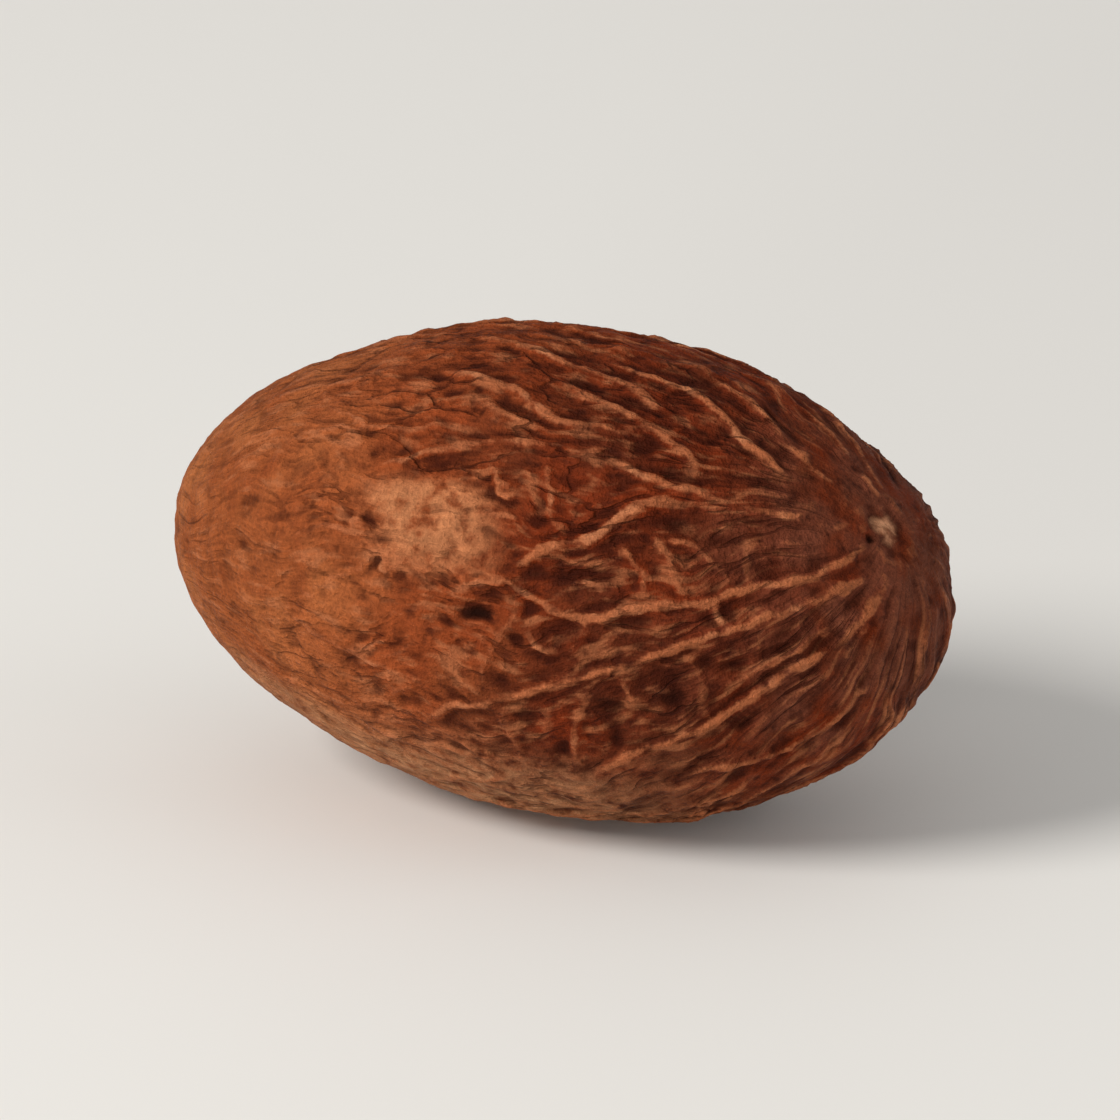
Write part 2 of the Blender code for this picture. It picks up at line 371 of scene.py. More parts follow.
wrinkles = np.zeros(len(ground))
for layer, (size, rise) in enumerate(WRINKLES, 10):
    wide_enough = ramp(size * reach / DRUM, LEAST_WRINKLE, 2 * LEAST_WRINKLE)
    wrinkles += rise * (folded_noise(fan, size, layer) - FOLD_MEAN) * wide_enough
at_the_ends = 1 - ramp(reach, *CRUMPLE_REACH)
wrinkles += CRUMPLE_HEIGHT * (folded_noise(ground, CRUMPLE_SIZE, 13) - FOLD_MEAN) * at_the_ends
print("The wrinkles span", round(float(np.ptp(wrinkles)) / MM, 2), "mm")

# %% [markdown]
# ## Where the skin is smooth
# The slim third of this seed is smoother, with shallow dimples. Veins and wrinkles fade out towards it, in
# tongues rather than along a clean edge, and they calm down near the hilum too. On the front there is also a
# low pale swelling: paler skin with a painted highlight on it, where it bulges towards the light.

# %% Where the skin is smooth
SMOOTH_ALONG = (-0.75, 0.10)  # veins and wrinkles fade out between these places, towards the slim end
SMOOTH_SHARE = 0.30  # how much of them is left there
TONGUE_SIZE = 2.4 * MM
TONGUES = 0.30
BELLY_TILT = 0.25  # the smooth part reaches further along the belly than along the top
CALM_SHARE = 0.35  # how much of the net and the wrinkles is left at the hilum
NET_CALM = (1.5 * MM, 8.0 * MM)  # distances from the hilum between which they grow to their full height
VEIN_CALM = (0.6 * MM, 2.2 * MM)  # the same for the veins of the front, which run right up to it
PATCH = (-0.13, 152)
PATCH_REACH = np.array([3.4, 1.5, 1.9]) * MM  # its half size along X, Y and Z
PATCH_EDGE = (0.45, 1.2)  # shares of that size at which the swelling starts to fade, and is gone
PATCH_TONGUES = 0.5
PATCH_CALM = 0.7

tongues = noise_at(fan, TONGUE_SIZE, 4)
wrinkled = ramp(along + TONGUES * tongues + BELLY_TILT * ground[:, 2] / RADII[2], *SMOOTH_ALONG)
from_patch = np.linalg.norm((ground - spot(*PATCH)) / PATCH_REACH, axis=1)
patch = 1 - ramp(from_patch + PATCH_TONGUES * tongues, *PATCH_EDGE)

vein_share = (SMOOTH_SHARE + (1 - SMOOTH_SHARE) * wrinkled) * (1 - PATCH_CALM * patch)
relief_share = vein_share * (CALM_SHARE + (1 - CALM_SHARE) * ramp(from_hilum * HILUM_RADIUS, *NET_CALM))
vein_share = vein_share * (CALM_SHARE + (1 - CALM_SHARE) * ramp(from_hilum * HILUM_RADIUS, *VEIN_CALM))
print("Smooth part of the skin:", round(100 * float((wrinkled < 0.5).mean())), "%")

# %% [markdown]
# Three more fields leave the relief alone and serve only the colour later on: the slim half is warmer, the
# blunt end is greyer, and the belly is paler, with dust and with painted light thrown up from the floor.

# %% The fields that only the colour needs
SLIM_ALONG = (-0.40, 0.30)
SLIM_TONGUES = 0.15
BLUNT_ALONG = (0.35, 0.90)
BLUNT_SHARE = 0.8
BELLY_ALONG = (0.0, 0.7)
BELLY_HEIGHT = (2 * MM, 7 * MM)  # heights over the lowest point between which dust and painted floor light thin out
BELLY_TONGUES = 2 * MM

slim_half = 1 - ramp(along + SLIM_TONGUES * tongues, *SLIM_ALONG)
blunt_end = BLUNT_SHARE * ramp(along, *BLUNT_ALONG)
over_belly = ground[:, 2] + RADII[2] + BELLY_TONGUES * tongues
belly = (1 - ramp(over_belly, *BELLY_HEIGHT)) * (1 - ramp(along, *BELLY_ALONG))
print("Dusty part of the skin:", round(100 * float((belly > 0.5).mean())), "%")

# %% [markdown]
# ## Pits, specks and shades
# Between the veins the ground has sunk into pockets as the seed dried, and the deepest are painted nearly
# black: dark skin with painted shade, the shade that falls into them. The smooth end has small brown specks
# instead. The ones on the front have their own list: where each lies, its half length and half width in
# millimetres, and its depth. The rest are scattered by a rule, with a fixed seed. Shades are wide soft spots
# of the same kind that change only the colour: on the front they darken the ground between the long veins, and
# over the crown they are painted shade.

# %% Pits, specks and shades
FRONT_PITS = [
    (0.02, 171, 0.65, 0.32, 1.0), (-0.06, 174, 0.40, 0.30, 0.5), (0.12, 176, 0.35, 0.40, 0.6),
    (-0.26, 162, 0.45, 0.30, 0.6), (0.13, 107, 0.70, 0.28, 0.6), (0.34, 124, 0.50, 0.35, 0.55),
    (0.47, 141, 0.60, 0.35, 0.55), (0.46, 114, 0.70, 0.25, 0.6), (0.49, 189, 0.95, 0.55, 0.65),
    (0.35, 191, 0.65, 0.50, 0.6), (0.36, 201, 0.35, 0.60, 0.5), (0.15, 196, 0.50, 0.45, 0.55),
    (0.22, 205, 0.40, 0.45, 0.45), (-0.23, 111, 0.60, 0.25, 0.5), (0.65, 201, 0.60, 0.30, 0.4),
    (0.30, 175, 0.60, 0.30, 0.45), (0.62, 180, 0.70, 0.30, 0.4),
]
FRONT_SPECKS = [
    (-0.53, 133, 0.35, 0.25, 0.7), (-0.33, 135, 0.30, 0.25, 0.6), (-0.67, 165, 0.25, 0.25, 0.8),
    (-0.55, 165, 0.35, 0.18, 0.7), (-0.40, 164, 0.20, 0.20, 0.6), (-0.51, 193, 0.30, 0.22, 0.6),
    (-0.51, 206, 0.20, 0.25, 0.6), (-0.30, 182, 0.30, 0.30, 0.5), (-0.18, 198, 0.45, 0.35, 0.8),
    (-0.70, 131, 0.35, 0.22, 0.5), (-0.79, 164, 0.20, 0.20, 0.4), (-0.68, 152, 0.30, 0.18, 0.4),
]
# Colour only: the five at turns 157 to 198 darken the ground of the front; the two on the crown, at turns 118
# and 100, are painted shade.
FRONT_SHADES = [
    (0.45, 190, 3.8, 2.0, 1.0), (0.62, 176, 2.4, 1.0, 0.8), (0.25, 175, 2.2, 1.1, 0.7),
    (0.27, 157, 1.7, 1.1, 0.9), (0.28, 118, 3.0, 1.6, 0.8), (0.10, 198, 2.0, 1.6, 0.6),
    (0.30, 100, 3.4, 1.8, 0.6),
]
SPECK_COUNT = 90
SPECKS_FROM = -0.95  # the place along the seed where the scattered specks are thickest
SPECKS_SPAN = 1.25  # how far from there they reach
SPECK_LENGTHS = (0.12, 0.30)
SPECK_WIDTHS = (0.10, 0.20)
SPECK_STRENGTHS = (0.2, 0.6)
SEED = 7


def dents(points, places):
    """The strength of the dents at those places, 1 in the middle of the deepest, falling to 0 outside."""
    depth = np.zeros(len(points))
    for place, turn, half_length, half_width, strength in places:
        apart = points - spot(place, turn)
        lengthwise = apart[:, 0] / (half_length * MM)
        sideways = np.hypot(apart[:, 1], apart[:, 2]) / (half_width * MM)
        depth = np.maximum(depth, strength * np.exp(-(np.hypot(lengthwise, sideways) ** 3)))
    return depth


def scattered_specks():
    """Specks of all sizes over the slim half, fewer towards the middle."""
    draw = np.random.default_rng(SEED)
    made = []
    for _ in range(SPECK_COUNT):
        place = SPECKS_FROM + SPECKS_SPAN * draw.random() ** 1.5
        turn = 360 * draw.random()
        sizes = [draw.uniform(*limits) for limits in (SPECK_LENGTHS, SPECK_WIDTHS, SPECK_STRENGTHS)]
        made.append((place, turn, *sizes))
    return made


pits = dents(shaken, FRONT_PITS)
specks = dents(shaken, FRONT_SPECKS + scattered_specks())
shades = dents(shaken, FRONT_SHADES)
print(len(FRONT_PITS), "pits and", len(FRONT_SPECKS) + SPECK_COUNT, "specks")

# %% [markdown]
# ## The scar
# The hilum is a small shallow dish with an uneven low rim, where the stalk broke away. A crumb of pale cork is
# left in the middle of it, beside a narrow hole.

# %% The scar
RAGS = [(0.9 * MM, 0.45, 7), (0.4 * MM, 0.30, 14)]  # its outline strays: over what size, how far, noise layer
RIM_WIDTH = 0.3  # this and the next two are shares of the hilum's radius
DISH_REACH = 0.85
CORK_EDGE = (0.2, 0.6)
RIM_HEIGHT = 0.07 * MM
RIM_MEAN = 0.7  # the share of that height which the rim has on average
RIM_SWING = 1.2  # and how much it comes and goes, over the next size
RIM_SWING_SIZE = 0.8 * MM
DISH_DEPTH = 0.13 * MM
CORK_HEIGHT = 0.08 * MM
SCAR_HOLES = [(0.872, 121, 0.30, 0.20, 0.9)]

ragged = from_hilum * (1 + sum(stray * noise_at(ground, size, layer) for size, stray, layer in RAGS))
cork = 1 - ramp(ragged, *CORK_EDGE)
rim = np.exp(-(((ragged - 1.0) / RIM_WIDTH) ** 2))
rim *= RIM_MEAN + RIM_SWING * noise_at(ground, RIM_SWING_SIZE, 9)
dish = np.exp(-((ragged / DISH_REACH) ** 4))
scar_relief = RIM_HEIGHT * rim - DISH_DEPTH * dish + CORK_HEIGHT * cork
scar_holes = dents(shaken, SCAR_HOLES)
print("The scar is", round(2 * HILUM_RADIUS / MM, 1), "mm across")

# %% [markdown]
# ## All the layers together
# Now the layers are added up. The drawn veins win over the net near them, so the net only fills what the map
# of the front leaves empty. Each vein is a thin crest on a wider swell, and its height comes and goes.

# %% The veins, wrinkles and dents together
VEIN_HEIGHT = 0.13 * MM
CREST_SHARE = 0.6  # how much of a vein's height is its thin crest
NET_SHARE = 0.70  # how high the net's veins are, next to the drawn ones
NET_CLEAR = (0.4 * MM, 1.6 * MM)  # distances from a drawn vein at which the net starts, and is whole
UNEVEN_MEAN = 0.9  # a vein's height comes and goes round this share of it
UNEVEN_SWING = 0.8  # by this much, over the next size, and within the limits after it
UNEVEN_SIZE = 1.3 * MM
UNEVEN_LIMITS = (0.45, 1.2)
HOLLOW_DEPTH = 0.07 * MM
HOLLOW_END = 0.5  # the strength of a vein at which the hollow beside it ends
PIT_DEPTH = 0.20 * MM
SPECK_DEPTH = 0.07 * MM

uneven = np.clip(UNEVEN_MEAN + UNEVEN_SWING * noise_at(ground, UNEVEN_SIZE, 8), *UNEVEN_LIMITS)
net_veins = NET_SHARE * net * ramp(from_front_vein, *NET_CLEAR)
veins = np.maximum(front_veins * vein_share, net_veins * relief_share) * uneven
hollows = relief_share * (1 - ramp(veins, 0.0, HOLLOW_END))
height = VEIN_HEIGHT * (CREST_SHARE * veins**2 + (1 - CREST_SHARE) * veins) - HOLLOW_DEPTH * hollows
height += wrinkles * relief_share
height -= PIT_DEPTH * pits + SPECK_DEPTH * specks
print("Veins and wrinkles run from", round(height.min() / MM, 2), "to", round(height.max() / MM, 2), "mm")

# %% [markdown]
# The last layers are the fine bumps of dry wood, the raphe's groove, the two scars and a slow unevenness of
# the whole egg. At the chalaza all else gives way to its pit, and round the resting spot the relief sinks to
# nothing, so that the seed still lies flat.

# %% Bumps, groove and scars
BUMPS = [(1.7 * MM, 0.06 * MM), (0.8 * MM, 0.05 * MM), (0.4 * MM, 0.025 * MM)]  # their sizes and heights
PATCH_RISE = 0.10 * MM
RAPHE_DEPTH = 0.22 * MM
RAPHE_START = (1.5 * MM, 4 * MM)  # the groove deepens between these distances from the bent line
CHALAZA_DEPTH = 0.35 * MM
CHALAZA_RAG = 0.5  # how far its outline strays, over the next size
CHALAZA_RAG_SIZE = 0.8 * MM
CHALAZA_CLEAR = (0.2, 2.0)  # in chalaza radii: where the rest of the relief starts, and where it is whole
LUMP_SIZE = 8.0 * MM
LUMP_HEIGHT = 0.35 * MM
FLAT_EDGE = 5 * FLAT_DEPTH  # the relief is whole from this height over the lowest point of the egg

height += sum(rise * noise_at(ground, size, layer) for layer, (size, rise) in enumerate(BUMPS, 15))
height += PATCH_RISE * patch
from_raphe = (turns - RAPHE_TURN + math.pi) % (2 * math.pi) - math.pi
raphe = np.exp(-((from_raphe * reach / RAPHE_HALF_WIDTH) ** 2)) * ramp(reach, *RAPHE_START)
height -= RAPHE_DEPTH * raphe
height += scar_relief - PIT_DEPTH * scar_holes

chalaza = np.exp(-((from_chalaza * (1 + CHALAZA_RAG * noise_at(ground, CHALAZA_RAG_SIZE, 19))) ** 2))
height *= ramp(from_chalaza, *CHALAZA_CLEAR)
height -= CHALAZA_DEPTH * chalaza
height += LUMP_HEIGHT * noise_at(ground, LUMP_SIZE)
height *= ramp(ground[:, 2] + RADII[2], FLAT_DEPTH, FLAT_EDGE)
print("The relief runs from", round(height.min() / MM, 2), "to", round(height.max() / MM, 2), "mm")

# %% [markdown]
# ## Crests and hollows
# On a real nutmeg the crests are rubbed pale and the hollows keep dark skin and dust. The dark laid on the
# hollows is partly painted shade as well, the shade that falls into them. A painter finds them by eye. Here
# each point is compared with the average height around it: what stands above it is a crest, and what lies
# below it is a hollow. Averaging over the neighbours again and again widens the circle that is compared.

# %% Crests and hollows
def averaged(values, rounds):
    """The values, evened out with their neighbours along the grid's edges, this many times over."""
    first, second = edges.T
    count = np.bincount(edges.ravel(), minlength=len(values))
    for _ in range(rounds):
        total = np.bincount(first, values[second], len(values))
        total += np.bincount(second, values[first], len(values))
        values = (values + total) / (1 + count)
    return values


NEAR_ROUNDS = 12
WIDE_ROUNDS = 60
CREST_SCALE = 0.05 * MM
DEPTH_SCALE = 0.125 * MM

near_average = averaged(height, NEAR_ROUNDS)
wide_average = averaged(near_average, WIDE_ROUNDS)
crest = np.clip((height - near_average) / CREST_SCALE, -1, 1)
depth = np.clip((height - wide_average) / DEPTH_SCALE, -1, 1)
print("Crests cover", round(100 * float((crest > 0.3).mean())), "%")
print("Hollows cover", round(100 * float((depth < -0.3).mean())), "%")

# %% [markdown]
# ## The skin as a mesh
# The relief moves each grid point straight out of the egg. Then the egg is centred over its base like the
# solid, and whatever would sink under the floor is pressed flat: that is the small spot on which the seed
# rests. The masks go along as attributes of the mesh, so the material can read them.

# %% The skin as a mesh
SPECK_DARKNESS = 0.6  # next to a pit
END_REACH = (1.5 * MM, 6 * MM)  # distances from the bent line between which the ends of the seed fade out

masks = {
    "vein": veins, "crest": crest, "depth": depth, "smooth": 1 - wrinkled, "patch": patch,
    "pit": np.maximum.reduce([pits, SPECK_DARKNESS * specks, scar_holes]), "cork": cork, "chalaza": chalaza,
    "slim_half": slim_half, "blunt_end": blunt_end, "belly": belly, "shade": shades,
    "end": 1 - ramp(reach, *END_REACH),
}


def nutmeg_skin():
    """The mesh of the whole seed, with its relief and its masks."""
    points = ground + outward * height[:, None]
    points[:, :2] -= (points.max(axis=0) + points.min(axis=0))[:2] / 2
    points[:, 2] += RADII[2] - FLAT_DEPTH
    points[:, 2] = np.maximum(points[:, 2], 0)
    for vertex, point in zip(grid.verts, points):
        vertex.co = point
    mesh = bpy.data.meshes.new("whole_nutmeg")
    grid.to_mesh(mesh)
    grid.free()
    mesh.shade_smooth()
    for name, values in masks.items():
        mesh.attributes.new(name, "FLOAT", "POINT").data.foreach_set("value", values.astype(np.float32))
    fan_place = mesh.attributes.new("fan", "FLOAT_VECTOR", "POINT")
    fan_place.data.foreach_set("vector", fan.astype(np.float32).ravel())
    return mesh


seed = bpy.data.objects.new("whole_nutmeg", nutmeg_skin())
bpy.context.scene.collection.objects.link(seed)
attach(seed, "root")
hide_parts("nutmeg")
print(len(seed.data.polygons) * 2, "triangles")

# %% [markdown]
# ## The seed coat
# The coat is dry wood with the colour of cocoa and rust. Seen close, no two millimetres have the same colour:
# the smooth end is orange brown, the wrinkled ground red brown, the veins tan and the pockets almost black,
# and that black is partly painted shade. A single brown would look like plastic. So the material starts from
# the ground colour and lays each of the others over it, through its mask. Noise of several sizes breaks every
# mask up, so that no edge is clean.
#
# That takes many nodes of few kinds, so each kind gets a small helper with a plain name.

# %% The seed coat's tools
coat = bpy.data.materials.new("seed_coat")
coat.use_nodes = True
nodes, links = coat.node_tree.nodes, coat.node_tree.links
shader = nodes["Principled BSDF"]


def plug(target, value):
    """Sets a socket to a plain value, or links it to an output."""
    if isinstance(value, bpy.types.NodeSocket):
        links.new(value, target)
    else:
        target.default_value = value


def mask(name):
    """A mask that the mesh carries."""
    node = nodes.new("ShaderNodeAttribute")
    node.attribute_name = name
    return node.outputs["Fac"]


def math_node(operation, *values, clamp=False):
    """One step of arithmetic with plain values, patterns and masks."""
    node = nodes.new("ShaderNodeMath")
    node.operation = operation
    node.use_clamp = clamp
    for socket, value in zip(node.inputs, values):
        plug(socket, value)
    return node.outputs[0]


def product(first, *others):
    """The product of values, patterns and masks."""
    for other in others:
        first = math_node("MULTIPLY", first, other)
    return first


def between(value, start, whole):
    """0 where the value is at start, 1 where it is at whole, and a smooth rise between them."""
    node = nodes.new("ShaderNodeMapRange")
    node.interpolation_type = "SMOOTHSTEP"
    plug(node.inputs["Value"], value)
    node.inputs["From Min"].default_value = start
    node.inputs["From Max"].default_value = whole
    return node.outputs["Result"]


def faded(pattern, share):
    """The pattern where the share is 1, and its plain average of 0.5 where the share is 0."""
    return math_node("MULTIPLY_ADD", math_node("SUBTRACT", pattern, 0.5), share, 0.5)


# %% [markdown]
# Patterns are read either in plain space, or in the fan address that the mesh carries, where they run along
# the veins and meet at the scars. Noise gives clouds and grain. The borders of bent cells give the fine
# cracks that part a dry skin.

# %% The seed coat's patterns
BENDS_PER_CELL = 3.0


def place_on_seed(name):
    """Where a pattern is read: "fan" follows the veins, and "Object" is plain space."""
    if name == "fan":
        node = nodes.new("ShaderNodeAttribute")
        node.attribute_name = "fan"
        return node.outputs["Vector"]
    return nodes.new("ShaderNodeTexCoord").outputs[name]


def scaled(place, size, stretch):
    """Coordinates in which a pattern of that size has size 1, stretched along the seed."""
    node = nodes.new("ShaderNodeMapping")
    node.inputs["Scale"].default_value = (1 / size, 1 / size, 1 / (size * stretch))
    links.new(place_on_seed(place), node.inputs["Vector"])
    return node.outputs["Vector"]


def grain(size, place="Object", stretch=1.0, detail=2.0):
    """Noise from 0 to 1 with features of that size."""
    node = nodes.new("ShaderNodeTexNoise")
    node.inputs["Scale"].default_value = 1.0
    node.inputs["Detail"].default_value = detail
    links.new(scaled(place, size, stretch), node.inputs["Vector"])
    return node.outputs["Fac"]


def from_border(size, place, bend):
    """The distance from the nearest border between cells, in cell sizes. The bend makes it crooked."""
    bender = nodes.new("ShaderNodeTexNoise")
    bender.inputs["Scale"].default_value = BENDS_PER_CELL
    links.new(scaled(place, size, 1.0), bender.inputs["Vector"])
    bent = nodes.new("ShaderNodeVectorMath")
    bent.operation = "MULTIPLY_ADD"
    bent.inputs[1].default_value = (bend, bend, bend)
    links.new(bender.outputs["Color"], bent.inputs[0])
    links.new(scaled(place, size, 1.0), bent.inputs[2])
    node = nodes.new("ShaderNodeTexVoronoi")
    node.feature = "DISTANCE_TO_EDGE"
    node.inputs["Scale"].default_value = 1.0
    links.new(bent.outputs["Vector"], node.inputs["Vector"])
    return node.outputs["Distance"]


SMOOTH_LOSS = 0.55  # how much of the rough detail the smooth part lacks
PATCH_LOSS = 0.70  # how much more of it the pale swelling lacks
SCAR_LOSS = 0.75  # how much of it is lacking at the scars, where the fan crowds it
FIBRE_STRETCH = 2.5
CRACK_CELL = 1.3 * MM
CRACK_BEND = 0.5
CRACK_EDGE = (0.06, 0.01)  # distances from a border, in cells, at which a crack starts, and is whole
CRACK_SPOTS = (0.40, 0.60)  # the cracks are only where the blotches are between these values, or above

clouds = grain(4.0 * MM)
blotch = grain(1.6 * MM)
mottle = grain(0.6 * MM, detail=3)
dust = grain(0.17 * MM)
grit = grain(0.08 * MM, detail=1)
rough_part = math_node("MULTIPLY_ADD", mask("smooth"), -SMOOTH_LOSS, 1.0)
plain_part = math_node("MULTIPLY_ADD", mask("patch"), -PATCH_LOSS, rough_part, clamp=True)
off_scar = math_node("MULTIPLY_ADD", mask("end"), -SCAR_LOSS, 1.0)
streaks = faded(grain(0.5 * MM, place="fan", detail=3), off_scar)
fibre = faded(grain(0.13 * MM, place="fan", stretch=FIBRE_STRETCH), off_scar)
cracks = between(from_border(CRACK_CELL, "fan", CRACK_BEND), *CRACK_EDGE)
furrows = product(cracks, between(blotch, *CRACK_SPOTS), plain_part, off_scar)
print("The patterns take", len(nodes), "nodes")

# %% [markdown]
# Colours are picked from the real seed, as the 0 to 255 values that a colour picker shows, and turned into
# the linear values that a shader wants. Each layer of colour is one line of a table: the colour, the pattern
# that it follows, the values of that pattern where it starts and where it is whole, and then the shares and
# masks that thin it out.
#
# The ground comes first: red brown, warmer on the slim half, greyer at the blunt end, tan where the skin is
# smooth, and paler on the belly, with dust and with painted light from the floor.

# %% The seed coat's ground colours
def colour(red, green, blue):
    """A shader colour from the values of a colour picker."""
    shares = np.array([red, green, blue]) / 255
    linear = np.where(shares <= 0.04045, shares / 12.92, ((shares + 0.055) / 1.055) ** 2.4)
    return (*linear.tolist(), 1.0)


def laid_over(under, over, share):
    """One colour laid over another, as much as the share says."""
    node = nodes.new("ShaderNodeMix")
    node.data_type = "RGBA"
    plug(node.inputs["Factor"], share)
    plug(node.inputs["A"], under)
    plug(node.inputs["B"], over)
    return node.outputs["Result"]


def layered(tone, layers):
    """The tone with all the layers of a table laid over it, in their order."""
    for over, pattern, start, whole, *shares in layers:
        tone = laid_over(tone, over, product(between(pattern, start, whole), *shares))
    return tone


GROUND_RED = colour(104, 38, 13)
GROUND_DULL = colour(90, 38, 18)
GROUND_WARM = colour(136, 65, 31)
GROUND_GREY = colour(100, 55, 39)
# Dust on the belly, and painted light: the belly is paler, as if lit from the floor below.
BELLY_DUST_AND_FLOOR_LIGHT = colour(160, 112, 78)
SLIM_TAN = colour(147, 84, 46)
SLIM_RUST = colour(132, 69, 35)
# Paler skin of the swelling on the front, with a painted highlight where it bulges towards the light.
PATCH_PALE_AND_HIGHLIGHT = colour(166, 105, 68)
WARM_SHARE = 0.85

tone = layered(GROUND_RED, [(GROUND_DULL, clouds, 0.42, 0.60)])
tone = laid_over(tone, GROUND_WARM, product(mask("slim_half"), WARM_SHARE))
slim_tone = layered(SLIM_RUST, [(SLIM_TAN, clouds, 0.40, 0.58)])
tone = layered(tone, [
    (GROUND_GREY, blotch, 0.30, 0.60, mask("blunt_end")),
    (slim_tone, blotch, 0.05, 0.55, mask("smooth")),
    # Painted light from the floor on the belly, with its dust.
    (BELLY_DUST_AND_FLOOR_LIGHT, mottle, 0.12, 0.70, mask("belly")),
    # The swelling: paler skin and a painted highlight.
    (PATCH_PALE_AND_HIGHLIGHT, mottle, 0.25, 0.60, mask("patch")),
])
print("With the ground colours it has", len(nodes), "nodes")

# %% [markdown]
# Then come the darks. Streaks and blots are dark red, the skin that was never rubbed. The shades and all
# that lies low get the same dark red, partly as darker skin and partly as painted shade. Pale flecks lie
# between them.

# %% The seed coat's darks
# Dark red of the unrubbed skin. Laid on the hollows, the pockets and the wide shades, it is also painted
# shade.
DARK_SKIN_AND_SHADE = colour(50, 15, 5)
FLECK_PALE = colour(160, 97, 62)
HOLLOW_RAG = 0.8  # how much the mottle shifts the edges of the hollows

ragged_depth = math_node("MULTIPLY_ADD", mottle, -HOLLOW_RAG, mask("depth"))
tone = layered(tone, [
    # Wide shades: darker ground on the front, painted shade on the crown.
    (DARK_SKIN_AND_SHADE, mottle, 0.85, 0.30, mask("shade"), 0.70),
    (FLECK_PALE, streaks, 0.52, 0.68, 0.55, off_scar),
    (DARK_SKIN_AND_SHADE, streaks, 0.46, 0.30, 0.60, plain_part),
    (DARK_SKIN_AND_SHADE, mottle, 0.44, 0.28, 0.60, plain_part),
    # Painted shade: the hollows and the low sides of the crests get the dark red, as if shade fell into them.
    (DARK_SKIN_AND_SHADE, ragged_depth, -0.35, -1.3, 0.85, off_scar, rough_part),
    (DARK_SKIN_AND_SHADE, mask("crest"), -0.2, -1.0, 0.50),
])
print("With the darks it has", len(nodes), "nodes")

# %% [markdown]
# Last come the veins with their ragged edges, rubbed tan and pale, and the small marks: furrows, pits, the
# crumb of cork in the scar and the dark pit of the chalaza.

# %% The seed coat's veins and marks
VEIN_TAN = colour(151, 86, 53)
VEIN_PALE = colour(168, 107, 72)
# Near black of the pits and the scar's hole, painted shade in them; weaker, it also colours the brown specks.
PIT_SHADE_AND_SPECK = colour(22, 5, 1)
CORK_PALE = colour(192, 138, 102)
FURROW_SHARE = 0.60
CHALAZA_SHARE = 0.8
VEIN_RAG = 0.7  # how much the mottle shifts the edges of the veins
VEIN_FRAY = 0.4  # and how much the dust does

frayed_vein = math_node("MULTIPLY_ADD", dust, VEIN_FRAY, mask("vein"))
ragged_vein = math_node("MULTIPLY_ADD", mottle, VEIN_RAG, frayed_vein)
vein_tone = layered(VEIN_TAN, [(VEIN_PALE, blotch, 0.48, 0.66)])
tone = layered(tone, [
    (vein_tone, ragged_vein, 0.85, 1.25, 0.85),
    (VEIN_TAN, mask("crest"), 0.3, 1.0, 0.30),
])
tone = laid_over(tone, DARK_SKIN_AND_SHADE, product(furrows, FURROW_SHARE))
tone = layered(tone, [
    # Painted shade in the pits and the hole, and the colour of the brown specks.
    (PIT_SHADE_AND_SPECK, mask("pit"), 0.25, 1.10),
    (CORK_PALE, mottle, 0.30, 0.60, mask("cork")),
])
tone = laid_over(tone, DARK_SKIN_AND_SHADE, product(mask("chalaza"), CHALAZA_SHARE))
print("The whole colour takes", len(nodes), "nodes")

# %% [markdown]
# The grain and the sheen end it. The coat is speckled down to a tenth of a millimetre, in light and dark as
# much as in height, and its fibres follow the veins. That is too small for the mesh, so the bump does it. The
# coat is dull, and a little less so on the rubbed crests.

# %% The seed coat's grain and gloss
SPECKLES = [(dust, 0.18), (fibre, 0.15), (grit, 0.13), (blotch, 0.10)]
MOTTLE_SPECKLE = 0.13
GRAIN_HEIGHTS = [(dust, 0.5), (fibre, 0.35), (grit, 0.25), (furrows, -0.5)]  # next to the mottle, which has 1
GRAIN_HEIGHT = 0.22 * MM
BUMP_STRENGTH = 0.9
DULL = 0.72  # the roughness of the hollows
RUBBED = 0.14  # how much less of it the crests have
RUBBED_CREST = (-0.6, 0.8)  # the crest values at which the rubbing starts, and is whole
MOTTLED = 0.12  # how much roughness the mottle adds
SHEEN = 0.05  # dry wood hardly mirrors anything


def speckle(pattern, strength):
    """A factor round 1 that follows the pattern, darker and lighter by that strength."""
    return math_node("MULTIPLY_ADD", pattern, 4 * strength, 1 - 2 * strength)


speckled = product(speckle(mottle, MOTTLE_SPECKLE), *[speckle(*entry) for entry in SPECKLES])
finished = nodes.new("ShaderNodeVectorMath")
finished.operation = "SCALE"
links.new(tone, finished.inputs[0])
links.new(speckled, finished.inputs["Scale"])
links.new(finished.outputs["Vector"], shader.inputs["Base Color"])

dullness = math_node("MULTIPLY_ADD", between(mask("crest"), *RUBBED_CREST), -RUBBED, DULL)
links.new(math_node("MULTIPLY_ADD", mottle, MOTTLED, dullness), shader.inputs["Roughness"])
shader.inputs["Specular IOR Level"].default_value = SHEEN

grain_height = mottle
for pattern, share in GRAIN_HEIGHTS:
    grain_height = math_node("MULTIPLY_ADD", pattern, share, grain_height)
bump = nodes.new("ShaderNodeBump")
bump.inputs["Strength"].default_value = BUMP_STRENGTH
bump.inputs["Distance"].default_value = GRAIN_HEIGHT
links.new(grain_height, bump.inputs["Height"])
links.new(bump.outputs["Normal"], shader.inputs["Normal"])
seed.data.materials.append(coat)
print("The finished coat has", len(nodes), "nodes")

# %% [markdown]
# ## The floor
# The seed lies on plain pale paper, so nothing draws the eye away from it. The paper also throws light back
# up under the belly. It is wide enough to reach out of the picture on all sides.

# %% The floor
FLOOR_SIZE = 6.0
FLOOR_PALE = colour(232, 230, 226)
FLOOR_ROUGHNESS = 0.6


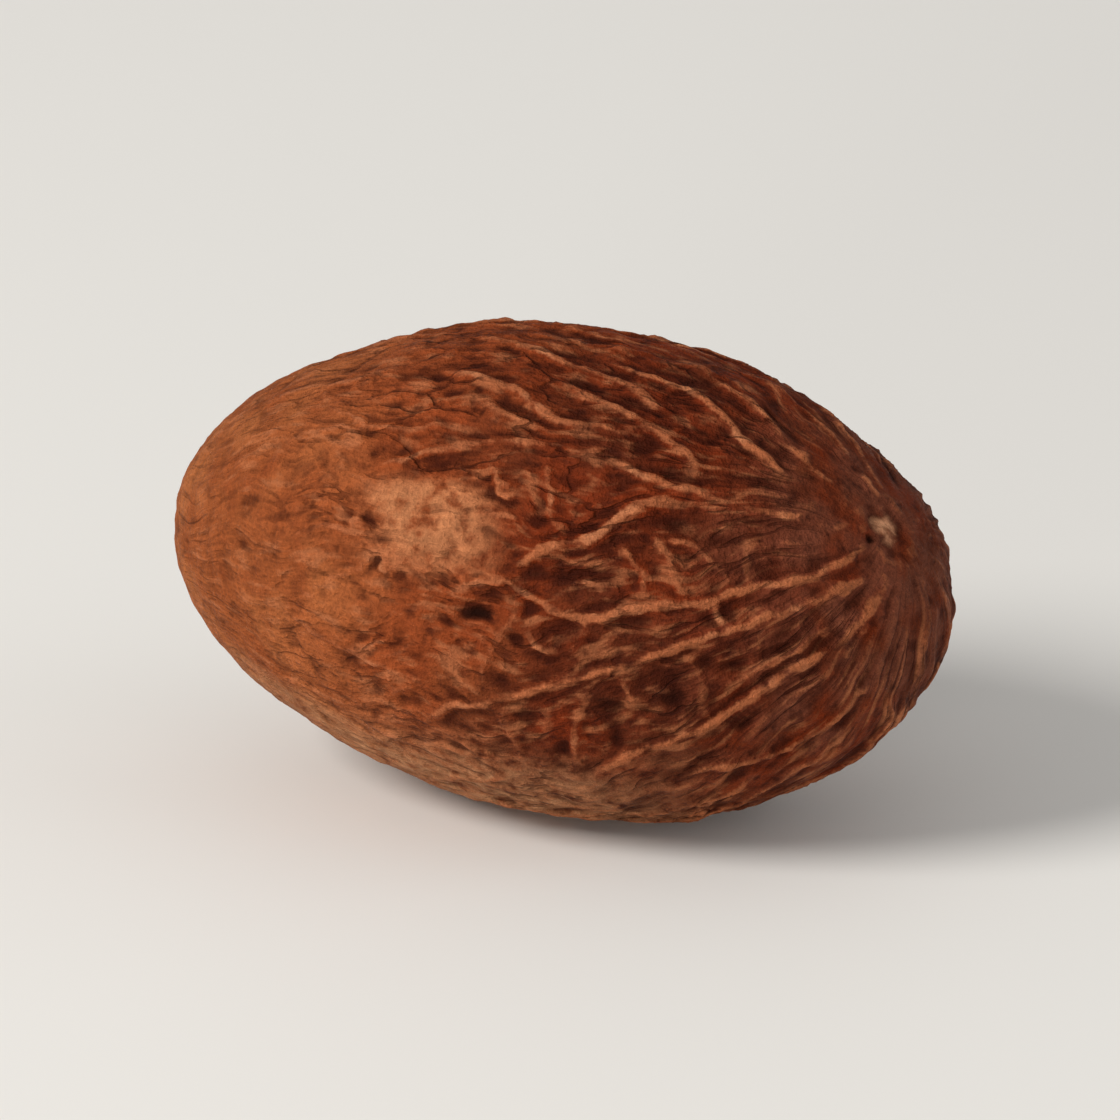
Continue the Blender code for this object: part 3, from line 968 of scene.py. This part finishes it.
def pale_floor():
    """A flat sheet of pale paper under the seed."""
    plane = bmesh.new()
    bmesh.ops.create_grid(plane, x_segments=1, y_segments=1, size=FLOOR_SIZE / 2)
    mesh = bpy.data.meshes.new("floor")
    plane.to_mesh(mesh)
    plane.free()
    paper = bpy.data.materials.new("pale_paper")
    paper.use_nodes = True
    surface = paper.node_tree.nodes["Principled BSDF"]
    surface.inputs["Base Color"].default_value = FLOOR_PALE
    surface.inputs["Roughness"].default_value = FLOOR_ROUGHNESS
    mesh.materials.append(paper)
    floor = bpy.data.objects.new("floor", mesh)
    bpy.context.scene.collection.objects.link(floor)
    return floor


pale_floor()
print("The floor is", FLOOR_SIZE, "m wide")

# %% [markdown]
# ## The camera
# The camera looks down on the seed at an angle of 21 degrees, and the seed lies 22 degrees off square, with
# its blunt end to the right. Small things are seen from far away compared with their size, so a long lens
# half a metre off gives the right proportions. Its focal length is worked out from the share of the picture
# that the seed is to fill.

# %% The camera
AZIMUTH = math.radians(22)
ELEVATION = math.radians(21)
CAMERA_DISTANCE = 0.5
FRAME_SHARE = 0.70  # how much of the picture's width the seed takes up
SENSOR = 36.0

level_share = math.cos(ELEVATION)
to_camera = Vector((math.sin(AZIMUTH) * level_share, -math.cos(AZIMUTH) * level_share, math.sin(ELEVATION)))
to_right = Vector((math.cos(AZIMUTH), math.sin(AZIMUTH), 0))
to_up = to_camera.cross(to_right)
middle = Vector((0, 0, seed_size[2] / 2))
seen_width = 2 * math.hypot(RADII[0] * to_right.x, RADII[1] * to_right.y)


def aim(thing, place):
    """Puts a lamp or a camera in place and turns it towards the middle of the seed."""
    thing.location = place
    thing.rotation_euler = (middle - Vector(place)).to_track_quat("-Z", "Y").to_euler()
    bpy.context.scene.collection.objects.link(thing)


camera = bpy.data.objects.new("camera", bpy.data.cameras.new("camera"))
camera.data.sensor_width = SENSOR
camera.data.lens = SENSOR * CAMERA_DISTANCE * FRAME_SHARE / seen_width
aim(camera, middle + to_camera * CAMERA_DISTANCE)
bpy.context.scene.camera = camera
print("Lens:", round(camera.data.lens), "mm for a seed", round(seen_width / MM, 1), "mm wide as seen")

# %% [markdown]
# ## The light
# Daylight from a large window comes from the upper left, and a pale room fills the shadows. A round area
# lamp makes the window, and it stands low enough to rake over the veins. Three weaker lamps and a pale world
# make the room: one in front lifts the belly, one behind on the right draws the outline there, and a large
# one on the right softens the dark side.

# %% The light
LAMPS = [  # name, place to the right, up and towards the camera, distance, size, power, tint
    ("window", (-0.72, 0.45, 0.52), 0.6, 0.28, 3.05, (1.0, 0.98, 0.95)),
    ("low_fill", (-0.35, -0.25, 0.90), 0.6, 0.15, 1.2, (1.0, 0.98, 0.95)),
    ("rim", (1.0, 0.12, -0.30), 0.6, 0.20, 1.2, (1.0, 0.98, 0.96)),
    ("room_fill", (0.85, 0.35, 0.40), 0.7, 0.45, 0.5, (0.95, 0.97, 1.0)),
]
ROOM_TINT = (1.0, 0.99, 0.97, 1.0)
ROOM_LIGHT = 0.42

for name, (right, up, near), distance, size, power, tint in LAMPS:
    light = bpy.data.lights.new(name, "AREA")
    light.shape = "DISK"
    light.size = size
    light.energy = power
    light.color = tint
    place = (right * to_right + up * to_up + near * to_camera) * distance
    aim(bpy.data.objects.new(name, light), middle + place)

world = bpy.data.worlds.new("pale_room")
world.use_nodes = True
background = world.node_tree.nodes["Background"]
background.inputs["Color"].default_value = ROOM_TINT
background.inputs["Strength"].default_value = ROOM_LIGHT
bpy.context.scene.world = world
bpy.context.scene.view_settings.view_transform = "Standard"
print(len(LAMPS), "lamps and a pale room")
